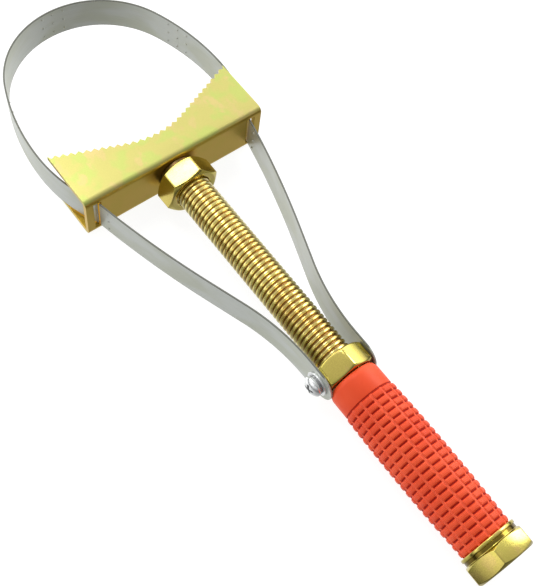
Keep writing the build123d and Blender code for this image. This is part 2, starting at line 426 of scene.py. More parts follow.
def threadFinish(name, values):
    # the same plating, with painted shade in the thread's root and painted highlight lines below the crest's
    # edges: the colour follows the distance from the axis
    material, nodes = newFinish(name)
    place = nodes.objectPlace()
    across, _, up = place.parts()
    radius = (across * across + up * up).math("SQRT", across * across + up * up)
    drift = nodes.noise(place, values["drift"], 2.0)
    grain = nodes.noise(place, 1 / values["grain"], 4.0, 0.6)
    # painted shade: the root colour towards the thread's root
    unshaded = radius.between(values["rootRadius"], values["crestRadius"])
    gilded = nodes.mix(drift.between(*values["bronzeNoise"]), values["gold"], values["bronze"])
    # painted highlight: a bright line up to this radius, fading out just above it
    crest = values["glintRadius"]
    above = radius.between(crest, crest + values["glintAfter"])
    glint = radius.between(crest - values["glintBefore"], crest) * (1 - above)
    shaded = nodes.mix(unshaded, values["root"], gilded)
    nodes.surface({
        "Base Color": nodes.mix(glint * values["glintShare"], shaded, values["glint"]),
        "Metallic": 1.0,
        "Roughness": (values["roughness"] + (grain - 0.5) * values["grainGloss"]
                      + (1 - unshaded) * values["rootGloss"]),
        "Normal": nodes.bump(grain, values["relief"]),
    })
    return material


springSteel = {
    "grey": rgb(192, 196, 190),
    "olive": rgb(183, 187, 173),
    # painted dark reflection along the strip's edges
    "edge": rgb(84, 84, 76),
    "streak": rgb(160, 162, 154),
    "metallic": 0.5,
    "halfWidth": 8.75 * mm,
    "edgeWidth": 0.55 * mm,
    "edgeFade": 0.2,  # share of the edge's width that is fully dark
    "edgeShadeShare": 0.85,
    "streakStretch": (60, 3200, 1),
    "driftStretch": (30, 90, 1),
    "fineStretch": (900, 6000, 1),
    "oliveNoise": (0.4, 0.65),
    "streakNoise": (0.45, 0.8),
    "streakShare": 0.35,
    "streakGloss": 0.2,
    "edgeGloss": 0.15,
    "streakRelief": 0.6,
    "fineRelief": 0.4,
    "roughness": 0.36,
    "relief": 0.01 * mm,
}


def bandFinish(name, values):
    # rolled strip: streaks along its length, and a painted dark reflection along both edges; the map is
    # (along, across) in metres
    material, nodes = newFinish(name)
    place = nodes.mapPlace()
    across = place.parts()[1]
    streak = nodes.noise(nodes.stretched(place, values["streakStretch"]), 1.0, 3.0, 0.6)
    drift = nodes.noise(nodes.stretched(place, values["driftStretch"]), 1.0, 2.0)
    fine = nodes.noise(nodes.stretched(place, values["fineStretch"]), 1.0, 2.0, 0.7)
    # painted dark reflection: the edge colour fades in over the outer edge width on both sides
    rim = across.math("ABSOLUTE", across).between(
        values["halfWidth"] - values["edgeWidth"],
        values["halfWidth"] - values["edgeFade"] * values["edgeWidth"],
    )
    tinted = nodes.mix(drift.between(*values["oliveNoise"]), values["grey"], values["olive"])
    streakShare = streak.between(*values["streakNoise"]) * values["streakShare"]
    streaked = nodes.mix(streakShare, tinted, values["streak"])
    nodes.surface({
        "Base Color": nodes.mix(rim * values["edgeShadeShare"], streaked, values["edge"]),
        "Metallic": values["metallic"],
        "Roughness": (values["roughness"] + (streak - 0.5) * values["streakGloss"]
                      + rim * values["edgeGloss"]),
        "Normal": nodes.bump(
            streak * values["streakRelief"] + fine * values["fineRelief"], values["relief"]),
    })
    return material


brightZinc = {
    "zinc": rgb(240, 242, 242),
    "dull": rgb(196, 198, 198),
    # painted shade, for the cross recess and the spring washer
    "shadeColour": rgb(50, 50, 48),
    "metallic": 0.8,
    "spots": 600,
    "dullNoise": (0.5, 0.75),
    "dullShare": 0.6,
    "shadeShare": 0.85,
    "grain": 0.5 * mm,
    "grainGloss": 0.2,
    "roughness": 0.2,
    "relief": 0.012 * mm,
}


def zincFinish(name, values):
    # bright zinc with small dull spots, and painted shade where the piece is marked as sunk
    material, nodes = newFinish(name)
    place = nodes.objectPlace()
    grain = nodes.noise(place, 1 / values["grain"], 4.0, 0.6)
    spots = nodes.noise(place, values["spots"], 2.0)
    sunk = nodes.mark("sunk")
    spotShare = spots.between(*values["dullNoise"]) * values["dullShare"]
    spotted = nodes.mix(spotShare, values["zinc"], values["dull"])
    nodes.surface({
        "Base Color": nodes.mix(sunk * values["shadeShare"], spotted, values["shadeColour"]),
        "Metallic": values["metallic"],
        "Roughness": values["roughness"] + (grain - 0.5) * values["grainGloss"],
        "Normal": nodes.bump(grain, values["relief"]),
    })
    return material


gripSkin = {
    "red": rgb(226, 76, 38),
    "light": rgb(236, 90, 50),
    "line": rgb(196, 44, 20),
    # painted highlight along the ribs between the pad columns
    "rib": rgb(244, 104, 72),
    # painted shade in the grooves and the collar's step
    "groove": rgb(150, 12, 4),
    "hatch": 0.62 * mm,  # pitch of the fine lines moulded across the pads
    "fade": 0.2 * mm,
    "grain": 2600,
    "drift": 60,
    "lightNoise": (0.35, 0.7),
    "lineShare": 0.3,
    "ribGlintShare": 0.35,
    "grooveShadeSpan": (0.4, 1.0),
    "grainGloss": 0.15,
    "grooveGloss": 0.2,
    "shine": 0.22,
    "lineRelief": 0.7,
    "grainRelief": 0.3,
    "roughness": 0.46,
    "relief": 0.07 * mm,
}


def gripFinish(name, values, texturedFrom):
    # moulded rubber: matt grain, fine cross lines on the textured part, painted shade in the grooves and a
    # painted highlight on the ribs
    material, nodes = newFinish(name)
    place = nodes.objectPlace()
    along = place.parts()[1]
    sunk = nodes.mark("sunk")
    grain = nodes.noise(place, values["grain"], 3.0, 0.6)
    drift = nodes.noise(place, values["drift"], 2.0)
    textured = 1 - along.between(texturedFrom - values["fade"], texturedFrom)
    phase = along * (turn / values["hatch"])
    lines = (phase.math("SINE", phase) * 0.5 + 0.5) * textured * (1 - sunk)
    tone = nodes.mix(drift.between(*values["lightNoise"]), values["red"], values["light"])
    rib = nodes.mark("rib")
    lined = nodes.mix(lines * values["lineShare"], tone, values["line"])
    ribGlinted = nodes.mix(rib * values["ribGlintShare"], lined, values["rib"])
    nodes.surface({
        "Base Color": nodes.mix(sunk.between(*values["grooveShadeSpan"]), ribGlinted, values["groove"]),
        "Roughness": (values["roughness"] + (grain - 0.5) * values["grainGloss"]
                      + sunk * values["grooveGloss"]),
        "Specular IOR Level": values["shine"],
        "Normal": nodes.bump(
            lines * values["lineRelief"] + grain * values["grainRelief"], values["relief"]),
    })
    return material


saddleMetal = passivated("saddle_plating", sheetPlating, platingLook)
nutMetal = passivated("nut_plating", nutPlating, platingLook)
screwMetal = threadFinish("screw_plating", threadPlating)
shadedWasherMetal = passivated("washer_steel", shadedWasherPlating, platingLook)
bandMetal = bandFinish("band_steel", springSteel)
fastenerMetal = zincFinish("fastener_zinc", brightZinc)
print("finishes ready")


saddle = {
    "length": 100 * mm,
    "height": 25.5 * mm,
    "sheet": 2.5 * mm,
    "bend": 3 * mm,
    "jawLow": 16.4 * mm,
    "jawAngle": 21,
    "jawRadius": 45 * mm,
    "teeth": 29,
    "toothDepth": 1.6 * mm,
    "slotOffset": 44 * mm,
    "slotWidth": 4.2 * mm,
    "slotHeight": 18.5 * mm,
    "bore": 6.05 * mm,
    "borePatch": 12 * mm,  # half width of the square of faces that holds the bore
    "edge": 0.3 * mm,
    "edgeSteps": 3,
    "edgeAngle": 35,  # degrees: a sharper edge than this is softened
    "flangeRows": 4,
    "bendRows": 9,
    "webShade": 0.8,  # how strong the painted shade on the web is, and where it fades in as shares of the bend
    "markFull": 0.1,
    "markNone": 0.35,
}


def jawEdge(values):
    # zigzag along the jaw: a point at run t is the jaw line at t, sunk by the tooth depth at every other
    # point; the line is an arc in the middle and leaves it straight at the jaw angle
    slope = math.radians(values["jawAngle"])
    radius = values["jawRadius"]
    half = radius * slope + (values["length"] / 2 - radius * math.sin(slope)) / math.cos(slope)
    run = np.linspace(-half, half, 2 * values["teeth"] + 1)
    sunk = np.where(np.arange(len(run)) % 2 == 1, values["toothDepth"], 0)
    lean = np.clip(run / radius, -slope, slope)
    rest = run - lean * radius
    x = radius * np.sin(lean) + rest * np.cos(slope) + sunk * np.sin(lean)
    y = radius * (1 - np.cos(lean)) + np.abs(rest) * np.sin(slope) - sunk * np.cos(lean)
    return x, webY + values["jawLow"] + y


def blockEdge(rowLow, rowHigh, columnLow, columnHigh):
    # rows and columns met on a walk round a block of the grid
    rows = np.arange(rowLow, rowHigh)
    columns = np.arange(columnLow, columnHigh)
    walkRows = np.concatenate([
        np.full(len(columns), rowLow), rows, np.full(len(columns), rowHigh), rows[::-1] + 1])
    walkColumns = np.concatenate([
        columns, np.full(len(rows), columnHigh), columns[::-1] + 1, np.full(len(rows), columnLow)])
    return walkRows, walkColumns


def strip(first, second):
    # quads between two closed rings of point numbers
    return np.stack([first, np.roll(first, -1), np.roll(second, -1), second], axis=1)


def buildSaddle(values):
    # a channel section (flange, bend, web, bend, flange) times a row of stations along the length, in two
    # layers, outside and inside, a sheet thickness apart; slots and bore are blocks left out, with walls
    # between the layers
    tipX, tipY = jawEdge(values)
    slots = [s * values["slotOffset"] + e * values["slotWidth"] / 2 for s in (-1, 1) for e in (-1, 1)]
    patch = [-values["borePatch"], values["borePatch"]]
    x = np.unique(np.round(np.concatenate([tipX, slots, patch]), 9))
    jaw = np.interp(x, tipX, tipY)
    half, bend, sheet = values["height"] / 2, values["bend"], values["sheet"]
    flange = np.linspace(0, 1, values["flangeRows"])
    lean = np.linspace(0, math.pi / 2, values["bendRows"])[1:]
    heights = values["slotHeight"] / 2 * np.array([1, 0.5, 0])
    webRows = np.concatenate([heights, -heights[-2::-1]])
    bendY = webY + bend

    def layer(depth):
        # rows of one layer: y and z arrays (rows, stations)
        radius = bend - depth
        flangeY = jaw[None, :] + flange[:, None] * (bendY - jaw[None, :])
        flangeZ = np.full_like(flangeY, half - depth)
        bendRowY = np.repeat((bendY - radius * np.sin(lean))[:, None], len(x), axis=1)
        bendRowZ = np.repeat((half - bend + radius * np.cos(lean))[:, None], len(x), axis=1)
        webRowY = np.full((len(webRows), len(x)), webY + depth)
        webRowZ = np.repeat(webRows[:, None], len(x), axis=1)
        y = np.concatenate([flangeY, bendRowY, webRowY, bendRowY[::-1], flangeY[::-1]])
        z = np.concatenate([flangeZ, bendRowZ, webRowZ, -bendRowZ[::-1], -flangeZ[::-1]])
        return np.stack([np.broadcast_to(x, y.shape), y, z], axis=2)

    outer, inner = layer(0), layer(sheet)
    rows, columns = outer.shape[:2]
    number = np.arange(2 * rows * columns).reshape(2, rows, columns)
    firstWeb = len(flange) + len(lean)
    lastWeb = firstWeb + len(webRows) - 1
    at = {round(float(place), 6): index for index, place in enumerate(x)}
    holes = [(at[round(low, 6)], at[round(high, 6)]) for low, high in (slots[:2], slots[2:], patch)]
    kept = np.ones((rows - 1, columns - 1), bool)
    for low, high in holes:
        kept[firstWeb:lastWeb, low:high] = False
    sheetFaces = gridFaces(rows, columns)[kept.ravel()]
    faces = [sheetFaces, sheetFaces + rows * columns]
    for block in [(0, rows - 1, 0, columns - 1)] + [(firstWeb, lastWeb, *hole) for hole in holes[:2]]:
        edge = blockEdge(*block)
        faces.append(strip(number[(0, *edge)], number[(1, *edge)]))
    edge = blockEdge(firstWeb, lastWeb, *holes[2])
    rim = outer[edge]
    angle = np.arctan2(rim[:, 0], rim[:, 2])
    circles = np.stack([
        np.stack([values["bore"] * np.sin(angle), np.full_like(angle, webY + depth),
                  values["bore"] * np.cos(angle)], axis=1) for depth in (0, sheet)])
    ring = 2 * rows * columns + np.arange(2 * len(angle)).reshape(2, -1)
    for side in (0, 1):
        faces.append(strip(number[(side, *edge)], ring[side]))
    faces.append(strip(ring[0], ring[1]))
    points = np.concatenate([outer.reshape(-1, 3), inner.reshape(-1, 3), circles.reshape(-1, 3)])
    # painted shade: the web's outer face takes the deep colour, fading out into the bend, and the whole inner
    # layer takes it in full
    sunk = values["webShade"] * (
        1 - ramp(points[:, 1], webY + values["markFull"] * bend, webY + values["markNone"] * bend))
    sunk[number[1].ravel()] = 1
    faces = np.concatenate(faces)
    piece = makeMesh("saddle_channel", points, faces, [saddleMetal], marks={"sunk": sunk})
    softenEdges(piece, values)
    fit(piece, "jaw", "saddle_plating", "saddle")


def softenEdges(piece, values):
    bevel = piece.modifiers.new("soft_edges", "BEVEL")
    bevel.width = values["edge"]
    bevel.segments = values["edgeSteps"]
    bevel.limit_method = "ANGLE"
    bevel.angle_limit = math.radians(values["edgeAngle"])
    bevel.harden_normals = True


buildSaddle(saddle)
print("saddle ready")


band = {
    "width": 17.5 * mm,
    "thickness": 0.8 * mm,
    "loopRadius": 47.3 * mm,
    "loopToWeb": 63.6 * mm,
    "bellyHalfWidth": 52.4 * mm,
    "bellyToWeb": 38 * mm,
    "legStart": 12.3,
    "legAngle": 19.6,
    "legBow": 500 * mm,
    "legEnd": 115 * mm,
    "gap": 0.3 * mm,  # between the loop piece and each leg piece
    "screwBack": 124.6,
    "corner": 0.16 * mm,
    "station": 1.4 * mm,  # coarse spacing along the strip
    "pipSpacing": 70 * mm,  # from one group of pips to the next along the strip
    "pipPitch": 6 * mm,
    "pipRadius": 0.8 * mm,
    "pipHeight": 0.6 * mm,
}


def pathAt(start, heading, steps, distance):
    # point and heading at each distance along tangent arcs, steps being (length, curvature): on an arc of
    # curvature k the heading grows by k s and the point moves by (sin h - sin h0, cos h0 - cos h) / k
    lengths, curvatures = np.array(steps).T
    curvatures[curvatures == 0] = 1e-6  # a straight run is an arc too large to tell
    begins = np.concatenate([[0], np.cumsum(lengths)[:-1]])
    headings = heading + np.concatenate([[0], np.cumsum(lengths * curvatures)[:-1]])

    def moved(h0, h, k):
        return np.stack([np.sin(h) - np.sin(h0), np.cos(h0) - np.cos(h)], axis=-1) / k[..., None]

    hops = moved(headings, headings + lengths * curvatures, curvatures)
    origins = np.array(start) + np.concatenate([[[0, 0]], np.cumsum(hops, axis=0)[:-1]])
    index = np.clip(np.searchsorted(begins, distance, side="right") - 1, 0, len(steps) - 1)
    lean = headings[index] + (distance - begins[index]) * curvatures[index]
    return origins[index] + moved(headings[index], lean, curvatures[index]), lean


def bandPlan(values):
    # the loop's arcs meet the round end and the slots without a corner; each is (length, curvature)
    sheet, offset = saddle["sheet"], saddle["slotOffset"]
    belly = values["bellyToWeb"] - sheet
    enter = 2 * math.atan((values["bellyHalfWidth"] - offset) / belly)
    leave = math.radians(values["legStart"])
    kinkRadius = sheet / (math.sin(enter) - math.sin(leave))
    rise = values["loopToWeb"] - values["bellyToWeb"]
    half, radius = values["bellyHalfWidth"], values["loopRadius"]
    sideRadius = (half**2 + rise**2 - radius**2) / (2 * (half - radius))
    sideTurn = math.asin(rise / (sideRadius - radius))
    lowerRadius = belly / math.sin(enter)
    climb = [
        (kinkRadius * (enter - leave), -1 / kinkRadius),
        (lowerRadius * enter, 1 / lowerRadius),
        (sideRadius * sideTurn, 1 / sideRadius),
    ]
    loop = [*climb, (radius * (math.pi - 2 * sideTurn), 1 / radius), *climb[::-1]]
    mouth = (offset - kinkRadius * (math.cos(leave) - math.cos(enter)), webY)
    low, high = leave, math.radians(values["legAngle"])
    start = (mouth[0] - values["gap"] * math.sin(low), mouth[1] - values["gap"] * math.cos(low))
    bowed = values["legBow"] * (math.cos(low) - math.cos(high))
    eased = values["legEnd"] * (1 - math.cos(high))
    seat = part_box("band_leg_right")[0].x + values["thickness"] / 2
    straight = (start[0] - seat - bowed - eased) / math.sin(high)
    fall = (values["legBow"] * (math.sin(high) - math.sin(low)) + straight * math.cos(high)
            + values["legEnd"] * math.sin(high))
    leg = [
        (values["legBow"] * (high - low), -1 / values["legBow"]),
        (straight, 0),
        (values["legEnd"] * high, 1 / values["legEnd"]),
        (start[1] - fall - back(values["screwBack"]), 0),
    ]
    return mouth, math.pi / 2 - leave, loop, start, 1.5 * math.pi - leave, leg


def gathered(*groups):
    return np.unique(np.round(np.concatenate(groups), 7))


def nearPips(centres, radius):
    return (np.asarray(centres)[:, None] + np.linspace(-1.15, 1.15, 13)[None, :] * radius).ravel()


def bandStrip(name, values, start, heading, steps, pipOffset, inward, tab=False, mirror=False):
    # a rounded rectangle carried along the path; a pip raises both faces towards the filter by
    # height * cos^2(pi r / 2R) within its radius R
    total = sum(step[0] for step in steps)
    groups = np.arange(-2, 3) * values["pipSpacing"] + pipOffset
    pipPlaces = (groups[:, None] + np.array([-1, 0, 1])[None, :] * values["pipPitch"]).ravel()
    inside = (pipPlaces > values["pipRadius"]) & (pipPlaces < total - values["pipRadius"])
    pipPlaces = pipPlaces[inside]
    coarse = np.linspace(0, total, int(total / values["station"]))
    distance = gathered(coarse, nearPips(pipPlaces, values["pipRadius"]))
    distance = distance[(distance >= 0) & (distance <= total)]
    half, thin, corner = values["width"] / 2, values["thickness"] / 2, values["corner"]
    pipRows = np.array([-1, 0, 1]) * values["pipPitch"]
    flat = gathered([-half + corner, -half + 2 * corner, half - 2 * corner, half - corner],
                    nearPips(pipRows, values["pipRadius"]), (half - 1.2 * mm) * np.linspace(-1, 1, 9))
    bevel = np.radians([22.5, 45, 67.5])
    rim = np.stack([half - corner + corner * np.sin(bevel), thin - corner + corner * np.cos(bevel)], axis=1)
    upper = np.stack([flat, np.full_like(flat, thin)], axis=1)
    side = [[half, thin - corner], [half, 0], [half, corner - thin]]
    right = np.concatenate([rim, side, rim[::-1] * [1, -1]])
    section = np.concatenate([upper, right, upper[::-1] * [1, -1], -right])
    across, through = section[:, 0], section[:, 1]
    width = np.ones_like(distance)
    if tab:
        lean = np.linspace(0, math.pi / 2, 24)[1:]
        distance = np.concatenate([distance, total + half * np.sin(lean)])
        width = np.concatenate([width, np.cos(lean)])
    place, way = pathAt(start, heading, steps, distance)
    normal = np.stack([-np.sin(way), np.cos(way)], axis=1) * inward
    spread = across[None, :] * width[:, None]
    raised = np.zeros_like(spread)
    for centre in pipPlaces:
        for row in pipRows:
            far = np.hypot(distance[:, None] - centre, spread - row) / values["pipRadius"]
            raised += values["pipHeight"] * np.cos(np.minimum(far, 1) * math.pi / 2) ** 2
    out = through[None, :] + raised
    points = np.stack([
        place[:, None, 0] + normal[:, None, 0] * out,
        place[:, None, 1] + normal[:, None, 1] * out,
        spread,
    ], axis=2)
    if mirror:
        points[..., 0] *= -1
    rows, columns = points.shape[:2]
    mapped = np.stack([np.broadcast_to(distance[:, None], spread.shape), spread], axis=2)
    first = np.arange(columns)
    ends = [first] if tab else [first, first + (rows - 1) * columns]
    faces = gridFaces(rows, columns, wrapColumns=True)
    return makeMesh(name, points, faces, [bandMetal], uv=mapped, extra=ends)


def buildBand(values):
    # the loop and the two legs are built where they rest and stand for their CAD nodes
    mouth, heading, loop, start, legHeading, leg = bandPlan(values)
    half = sum(step[0] for step in loop) / 2
    web, nut = (0, webY, 0), (0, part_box("anchor_nut")[1].y, 0)
    apex = (0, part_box("band_loop")[1].y, 0)
    pieces = [("band_loop", apex, bandStrip("band_loop_strip", values, mouth, heading, loop, half, 1))]
    for side, mirror in (("right", False), ("left", True)):
        strip = bandStrip("band_leg_strip_" + side, values, start, legHeading, leg,
                          -half - values["gap"], -1, tab=True, mirror=mirror)
        pieces.append(("band_leg_" + side, nut, strip))
    for node, end, piece in pieces:
        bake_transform(piece)
        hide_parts(node)


buildBand(band)
print("band ready")


nuts = {
    "thrust_nut": {"body": "spindle", "flats": 25.5 * mm, "corner": -44.8, "rounding": 0.8 * mm,
                   "bulge": 0.1 * mm, "soft": 0.22 * mm},
    "anchor_nut": {"body": "anchor", "flats": 24.4 * mm, "corner": 0, "rounding": 2.2 * mm,
                   "bulge": 0.45 * mm, "soft": 0.9 * mm},
    "shared": {"bore": 8.98 * mm, "sink": 0.9 * mm, "faceShare": 0.95, "chamfer": 30},
}
rings = {
    "thrust_washer": {"body": "spindle", "bore": 6.05 * mm, "soft": 0.5 * mm, "slot": "washer_steel"},
    "retaining_washer": {"body": "spindle", "bore": 6.05 * mm, "soft": 0.3 * mm, "slot": "nut_plating"},
    "grip_washer": {"body": "spindle", "bore": 8 * mm, "soft": 0.5 * mm, "slot": "nut_plating"},
}


def buildNut(node, values, shared):
    # hexagon keys outside, a countersunk bore inside, every corner rounded
    angles = hexAngles(values["corner"])
    low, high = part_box(node)
    near, far, count = high.y, low.y, len(angles)
    bore, sink = shared["bore"], shared["sink"]
    faceRing = values["flats"] / 2 * shared["faceShare"]
    outside = hexKeys(angles, values, near, far, faceRing, shared["chamfer"])
    inside = [(far, bore + sink), (far + sink, bore), (near - sink, bore)]
    keys = np.concatenate([levels(count, (near, bore + sink)), outside, levels(count, *inside)])
    piece = turned(node + "_hex", softened(keys, values["soft"]), angles, [nutMetal])
    fit(piece, values["body"], "nut_plating", node)


def buildRing(node, values):
    low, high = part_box(node)
    # the thrust washer takes the darker copy of the plating: painted shade
    metal = shadedWasherMetal if values["slot"] == "washer_steel" else nutMetal
    angles = fullTurn()
    rows = washerRows(high.y, low.y, high.x, values["bore"], values["soft"], len(angles))
    piece = turned(node + "_disc", rows, angles, [metal])
    fit(piece, values["body"], values["slot"], node)


for node in ("thrust_nut", "anchor_nut"):
    buildNut(node, nuts[node], nuts["shared"])
for node, values in rings.items():
    buildRing(node, values)
print("nuts and washers ready")


screw = {
    "crest": 8.9 * mm,
    "root": 7.6 * mm,
    "pitch": 2.5 * mm,
    "journal": 6 * mm,
    "shank": 8 * mm,
    "startInNut": 3 * mm,  # the thread starts this far inside the thrust nut
    "neck": 13.1 * mm,
    "neckLength": 1.8 * mm,
    "flats": 28 * mm,
    "corner": -22.6,
    "rounding": 0.9 * mm,
    "bulge": 0.3 * mm,
    "faceShare": 0.95,
    "chamfer": 30,
    "dish": 9 * mm,  # radius of the shallow dish in the head's end
    "dishDepth": 0.35 * mm,
    "soft": 0.22 * mm,
    # one turn of the thread: share of the pitch and height above the root as a share of the depth
    "profile": [(0, 0.88), (0.04, 0.97), (0.12, 1), (0.34, 1), (0.42, 0.97), (0.46, 0.88),
                (0.62, 0.08), (0.67, 0), (0.81, 0), (0.86, 0.08)],
    # rivet that closes the far end: distance from the inside of the web, radius
    "rivet": [(3.8, 0), (3.78, 3), (3.6, 5), (3.2, 6.5), (2.6, 7.35), (2.0, 7.5), (1.7, 7.35), (1.6, 7.0),
              (1.6, 6)],
}


def threadRows(values, angles, start, end):
    # row s turns down the screw: y = start - pitch * (s - angle / full turn), radius by the share of the
    # turn; rows beyond either end close up into a ring there
    share, height = np.array(values["profile"]).T
    turns = math.ceil((start - end) / values["pitch"]) + 1
    place = (np.arange(turns)[:, None] + share[None, :]).ravel()
    radius = values["root"] + (values["crest"] - values["root"]) * np.tile(height, turns)
    y = start - values["pitch"] * (place[:, None] - (angles - angles[0])[None, :] / turn)
    radius = np.repeat(radius[:, None], len(angles), axis=1)
    outside = (y > start - flatDistance) | (y < end + flatDistance)
    radius = np.where(outside, values["root"], radius)
    return np.stack([np.clip(y, end, start), radius], axis=2)


def buildScrew(values):
    angles = hexAngles(values["corner"])
    angles = np.append(angles, angles[0] + turn)
    count = len(angles)
    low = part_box("adjusting_screw")[0]
    inside = webY + saddle["sheet"]
    rivet = levels(count, *[(inside + d * mm, r * mm) for d, r in values["rivet"]])
    nut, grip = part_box("thrust_nut"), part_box("grip")
    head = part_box("grip_washer")[0].y
    start = nut[0].y + values["startInNut"]
    journal = levels(count, (nut[1].y, values["journal"]), (nut[1].y, values["root"]))
    thread = threadRows(values, angles, start, grip[1].y)
    shank = levels(count, (grip[1].y, values["shank"]), (head, values["shank"]))
    face, ring = head - values["neckLength"], values["flats"] / 2 * values["faceShare"]
    outline = hexKeys(angles, values, face, low.y, ring, values["chamfer"])
    neck, dish, deep = values["neck"], values["dish"], values["dishDepth"]
    ends = np.concatenate([
        levels(count, (head, values["shank"] + 0.2 * mm), (head, neck), (face, neck)), outline,
        levels(count, (low.y, dish), (low.y + deep, dish - 2 * deep), (low.y + deep, 0))])
    headRows = softened(ends, values["soft"], closed=False)
    rows = np.concatenate([rivet, journal, thread, shank, headRows])
    faces = gridFaces(len(rows), count)
    isHead = faces[:, 0] // count >= len(rows) - len(headRows)
    # painted shade in the gap at the head's neck, in the head plating's deep colour
    gap = np.full(rows.shape[:2], False)
    hair = 0.01 * mm
    gap[-len(headRows):] = (headRows[..., 0] > face - hair) & (headRows[..., 1] < neck + hair)
    piece = makeMesh("adjusting_screw_rod", around(rows, angles), faces, [screwMetal, nutMetal],
                     faceMaterial=isHead, marks={"sunk": gap})
    fit(piece, "spindle", "screw_plating", "adjusting_screw")


buildScrew(screw)
print("screw ready")


grip = {
    "bore": 8 * mm,
    "collarLength": 12.3 * mm,
    "collar": 12.4 * mm,
    # the collar's two ends: distance from the end or the step, radius
    "lip": [(0, 11.0), (0.05, 11.25), (0.25, 11.5), (0.8, 11.8), (1.6, 12.15), (2.4, 12.37), (3.0, 12.4)],
    "step": [(-0.75, 12.4), (-0.6, 12.35), (-0.5, 12.0), (-0.4, 11.85), (-0.15, 11.85), (-0.02, 12.05)],
    "swell": 26.8 * mm,
    "end": 25 * mm,
    "endRound": 0.6 * mm,
    "rows": 21,
    "columns": 14,
    "grooveWidth": 0.42,  # share of a row's pitch
    "grooveDepth": 1.0 * mm,
    "ribDrop": 0.55 * mm,
    "dome": 0.45 * mm,  # a pad's edges lie a third of this below its middle
    "padHalf": 10.2,  # degrees from a pad's middle to its side
    "sideHalf": 1.2,  # degrees that half of the side takes to fall
}


def buildGrip(values):
    # textured radius = barrel curve - groove depth where a groove crosses a pad - rib drop between the pads,
    # and each pad is domed along the grip by the square of the distance from its middle
    far, near = (corner.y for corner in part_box("grip"))
    side = np.array([4, 8, 9, 9.6, 10.2, 10.8, 11.4, 12])
    sector = np.concatenate([[-180 / values["columns"]], -side[::-1], [0], side])
    middles = np.arange(values["columns"])[:, None] * (360 / values["columns"])
    angles = np.radians((middles + sector).ravel())
    lean = np.abs(np.tile(sector, values["columns"]))
    step, textured = near - values["collarLength"], near - values["collarLength"] - far
    half = np.array([0.05, 0.084, 0.11, 0.135, 0.16, 0.185, 0.21, 0.26, 0.37])
    across = np.concatenate([[0], half, [0.5], 1 - half[::-1]])
    place = (np.arange(values["rows"])[:, None] + across).ravel() / values["rows"]
    place = place[place * textured > 0.2 * mm]
    first = values["collar"] * 2 + (values["swell"] - values["collar"] * 2) / 2
    swell = values["swell"] - (first + values["end"]) / 2
    barrel = (first + (values["end"] - first) * place + 4 * swell * place * (1 - place)) / 2
    away = np.abs((place * values["rows"] + 0.5) % 1 - 0.5)
    groove = 1 - ramp(away, values["grooveWidth"] * 0.06, values["grooveWidth"] * 0.5)
    padHalf, sideHalf = values["padHalf"], values["sideHalf"]
    pad = 1 - ramp(lean, padHalf - sideHalf, padHalf + sideHalf)
    sunk = groove[:, None] * pad[None, :]
    radius = barrel[:, None] - values["grooveDepth"] * sunk - values["ribDrop"] * (1 - pad)[None, :]
    dome = values["dome"] * (2 * np.abs(away - 0.5)[:, None]) ** 2 * pad[None, :] * (1 - groove[:, None])
    texture = np.stack([
        np.broadcast_to((step - place * textured)[:, None], radius.shape), radius - dome], axis=2)
    count = len(angles)
    collar = levels(count, *[(near - d * mm, r * mm) for d, r in values["lip"]])
    edge = levels(count, *[(step - d * mm, r * mm) for d, r in values["step"]])
    last, bore = values["end"] / 2 - values["endRound"], values["bore"]
    ends = levels(count, (far, last), (far, bore), (near, bore))
    rows = np.concatenate([collar, edge[:-1], texture, ends])
    marks = {"sunk": np.zeros(rows.shape[:2]), "rib": np.zeros(rows.shape[:2])}
    begin = len(collar) + len(edge) - 1
    # painted shade: the grooves, and the collar's step rows at 0.8
    marks["sunk"][begin:begin + len(place)] = sunk
    marks["sunk"][len(collar) + 2:begin] = 0.8
    # painted highlight along the ribs
    marks["rib"][begin:begin + len(place)] = (1 - pad)[None, :]
    skin = gripFinish("grip_rubber", gripSkin, step)
    piece = turned("grip_sleeve", rows, angles, [skin], marks=marks, sharpAngle=60)
    fit(piece, "spindle", "grip_rubber", "grip")


buildGrip(grip)
print("grip ready")


panScrew = {
    "side": -1,
    "head": 5 * mm,
    "height": 3.2 * mm,
    "edge": 1.1 * mm,
    "curve": 3.2,
    "shank": 2.45 * mm,
    "arm": 2.75 * mm,  # recess: half span, half width, depth in the middle and at an arm's end
    "armWidth": 0.62 * mm,
    "deep": 1.8 * mm,
    "shallow": 1.0 * mm,
    "tilt": 24,
    "bore": 2.65 * mm,  # of both washers
    "soft": 0.2 * mm,
    "split": 0.6 * mm,
    # painted shade over the spring washer, which lies in the dark groove under the head
    "springShade": 0.7,
}
bandRivet = {
    "side": 1,
    "shank": 2.45 * mm,
    "head": 5 * mm,
    "height": 0.8 * mm,
    "chamfer": 0.4 * mm,
    "soft": 0.15 * mm,
}


def domeHeight(values, radius):
    # pan head: height - (height - edge) * (r / R) to the power of the curve
    fall = (radius / values["head"]) ** values["curve"]
    return values["height"] - (values["height"] - values["edge"]) * fall


def placeOf(node, side):
    # where a piece turned about an X axis goes, and how far its two ends lie from the tool's middle plane
    low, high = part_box(node)
    near, far = sorted((abs(low.x), abs(high.x)))
    centre = (0, (low.y + high.y) / 2, (low.z + high.z) / 2)
    return {"centre": centre, "axis": "x", "side": side}, near, far


